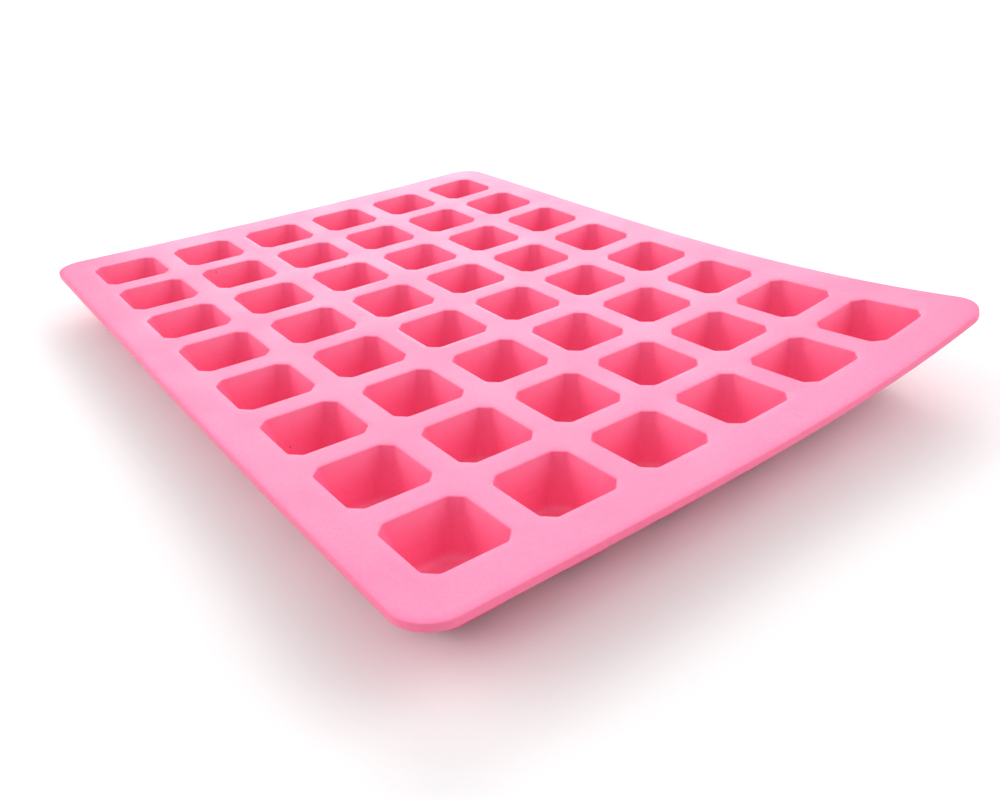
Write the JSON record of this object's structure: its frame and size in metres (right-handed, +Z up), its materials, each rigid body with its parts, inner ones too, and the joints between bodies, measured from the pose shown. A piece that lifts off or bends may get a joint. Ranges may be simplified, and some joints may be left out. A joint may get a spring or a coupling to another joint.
{
  "type": "soap mould tray",
  "caption": "Flexible one-piece silicone mould tray: a thin rounded sheet with a grid of square, corner-cut cups for casting small soap, wax or resin pieces.",
  "frame": {"origin": "centre of the bounding box in plan, at the underside of the middle cups, on the surface the tray stands on", "axes": "+X across the tray's short side, +Y along its long side, +Z up out of the cavities' mouths; the most curled corner is at +X, -Y"},
  "size_m": [0.1755, 0.2326, 0.0254],
  "materials": {
    "silicone": "satin, slightly translucent pink silicone"
  },
  "bodies": {
    "root": {"sheet_1_1": "silicone", "sheet_1_2": "silicone", "sheet_1_3": "silicone", "sheet_1_4": "silicone", "sheet_2_1": "silicone", "sheet_2_2": "silicone", "sheet_2_3": "silicone", "sheet_2_4": "silicone", "sheet_3_1": "silicone", "sheet_3_2": "silicone", "sheet_3_3": "silicone", "sheet_3_4": "silicone", "cup_1_1": "silicone", "cup_1_2": "silicone", "cup_1_3": "silicone", "cup_1_4": "silicone", "cup_1_5": "silicone", "cup_1_6": "silicone", "cup_1_7": "silicone", "cup_1_8": "silicone", "cup_2_1": "silicone", "cup_2_2": "silicone", "cup_2_3": "silicone", "cup_2_4": "silicone", "cup_2_5": "silicone", "cup_2_6": "silicone", "cup_2_7": "silicone", "cup_2_8": "silicone", "cup_3_1": "silicone", "cup_3_2": "silicone", "cup_3_3": "silicone", "cup_3_4": "silicone", "cup_3_5": "silicone", "cup_3_6": "silicone", "cup_3_7": "silicone", "cup_3_8": "silicone", "cup_4_1": "silicone", "cup_4_2": "silicone", "cup_4_3": "silicone", "cup_4_4": "silicone", "cup_4_5": "silicone", "cup_4_6": "silicone", "cup_4_7": "silicone", "cup_4_8": "silicone", "cup_5_1": "silicone", "cup_5_2": "silicone", "cup_5_3": "silicone", "cup_5_4": "silicone", "cup_5_5": "silicone", "cup_5_6": "silicone", "cup_5_7": "silicone", "cup_5_8": "silicone", "cup_6_1": "silicone", "cup_6_2": "silicone", "cup_6_3": "silicone", "cup_6_4": "silicone", "cup_6_5": "silicone", "cup_6_6": "silicone", "cup_6_7": "silicone", "cup_6_8": "silicone"}
  },
  "joints": []
}
